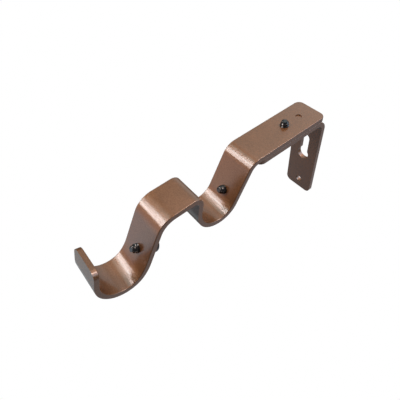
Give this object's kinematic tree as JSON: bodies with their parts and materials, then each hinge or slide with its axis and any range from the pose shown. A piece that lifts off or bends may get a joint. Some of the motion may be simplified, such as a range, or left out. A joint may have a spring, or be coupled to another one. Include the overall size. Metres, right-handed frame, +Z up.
{
  "type": "curtain pole bracket",
  "caption": "Double curtain pole bracket: a bent metal strip arm with a rear and a front pole cradle, clamped to an angled wall plate with a keyhole, with pole locking screws.",
  "frame": {"origin": "on the wall face of the wall plate, in the middle of its width, midway between the centre of the keyhole's seat and the centre of the lower fixing hole", "axes": "X along the poles and across the strip, +Y into the wall so that the arm reaches out along -Y, +Z up"},
  "size_m": [0.022, 0.1657, 0.0744],
  "materials": {
    "copper_paint_arm": "satin metallic copper brown",
    "copper_paint_plate": "satin metallic copper brown",
    "black_steel": "blackened, slightly glossy"
  },
  "bodies": {
    "wall_plate": {"wall_plate": "copper_paint_plate"},
    "arm": {"arm": "copper_paint_arm"},
    "clamp_screw": {"clamp_screw": "black_steel"},
    "rear_pole_screw": {"rear_pole_screw": "black_steel"},
    "front_pole_screw": {"front_pole_screw": "black_steel"}
  },
  "joints": [
    {"name": "arm_slide", "type": "slide", "parent": "wall_plate", "child": "arm", "axis": [0, -1, 0], "range_m": [-0.0012, 0.021]},
    {"name": "clamp_screw_travel", "type": "slide", "parent": "arm", "child": "clamp_screw", "axis": [0, 0, -1], "range_m": [0, 0.003]},
    {"name": "rear_pole_screw_travel", "type": "slide", "parent": "arm", "child": "rear_pole_screw", "axis": [0, -0.8387, 0.5446], "range_m": [-0.0037, 0.0059]},
    {"name": "front_pole_screw_travel", "type": "slide", "parent": "arm", "child": "front_pole_screw", "axis": [0, -0.8526, 0.5225], "range_m": [-0.0037, 0.0059]}
  ]
}
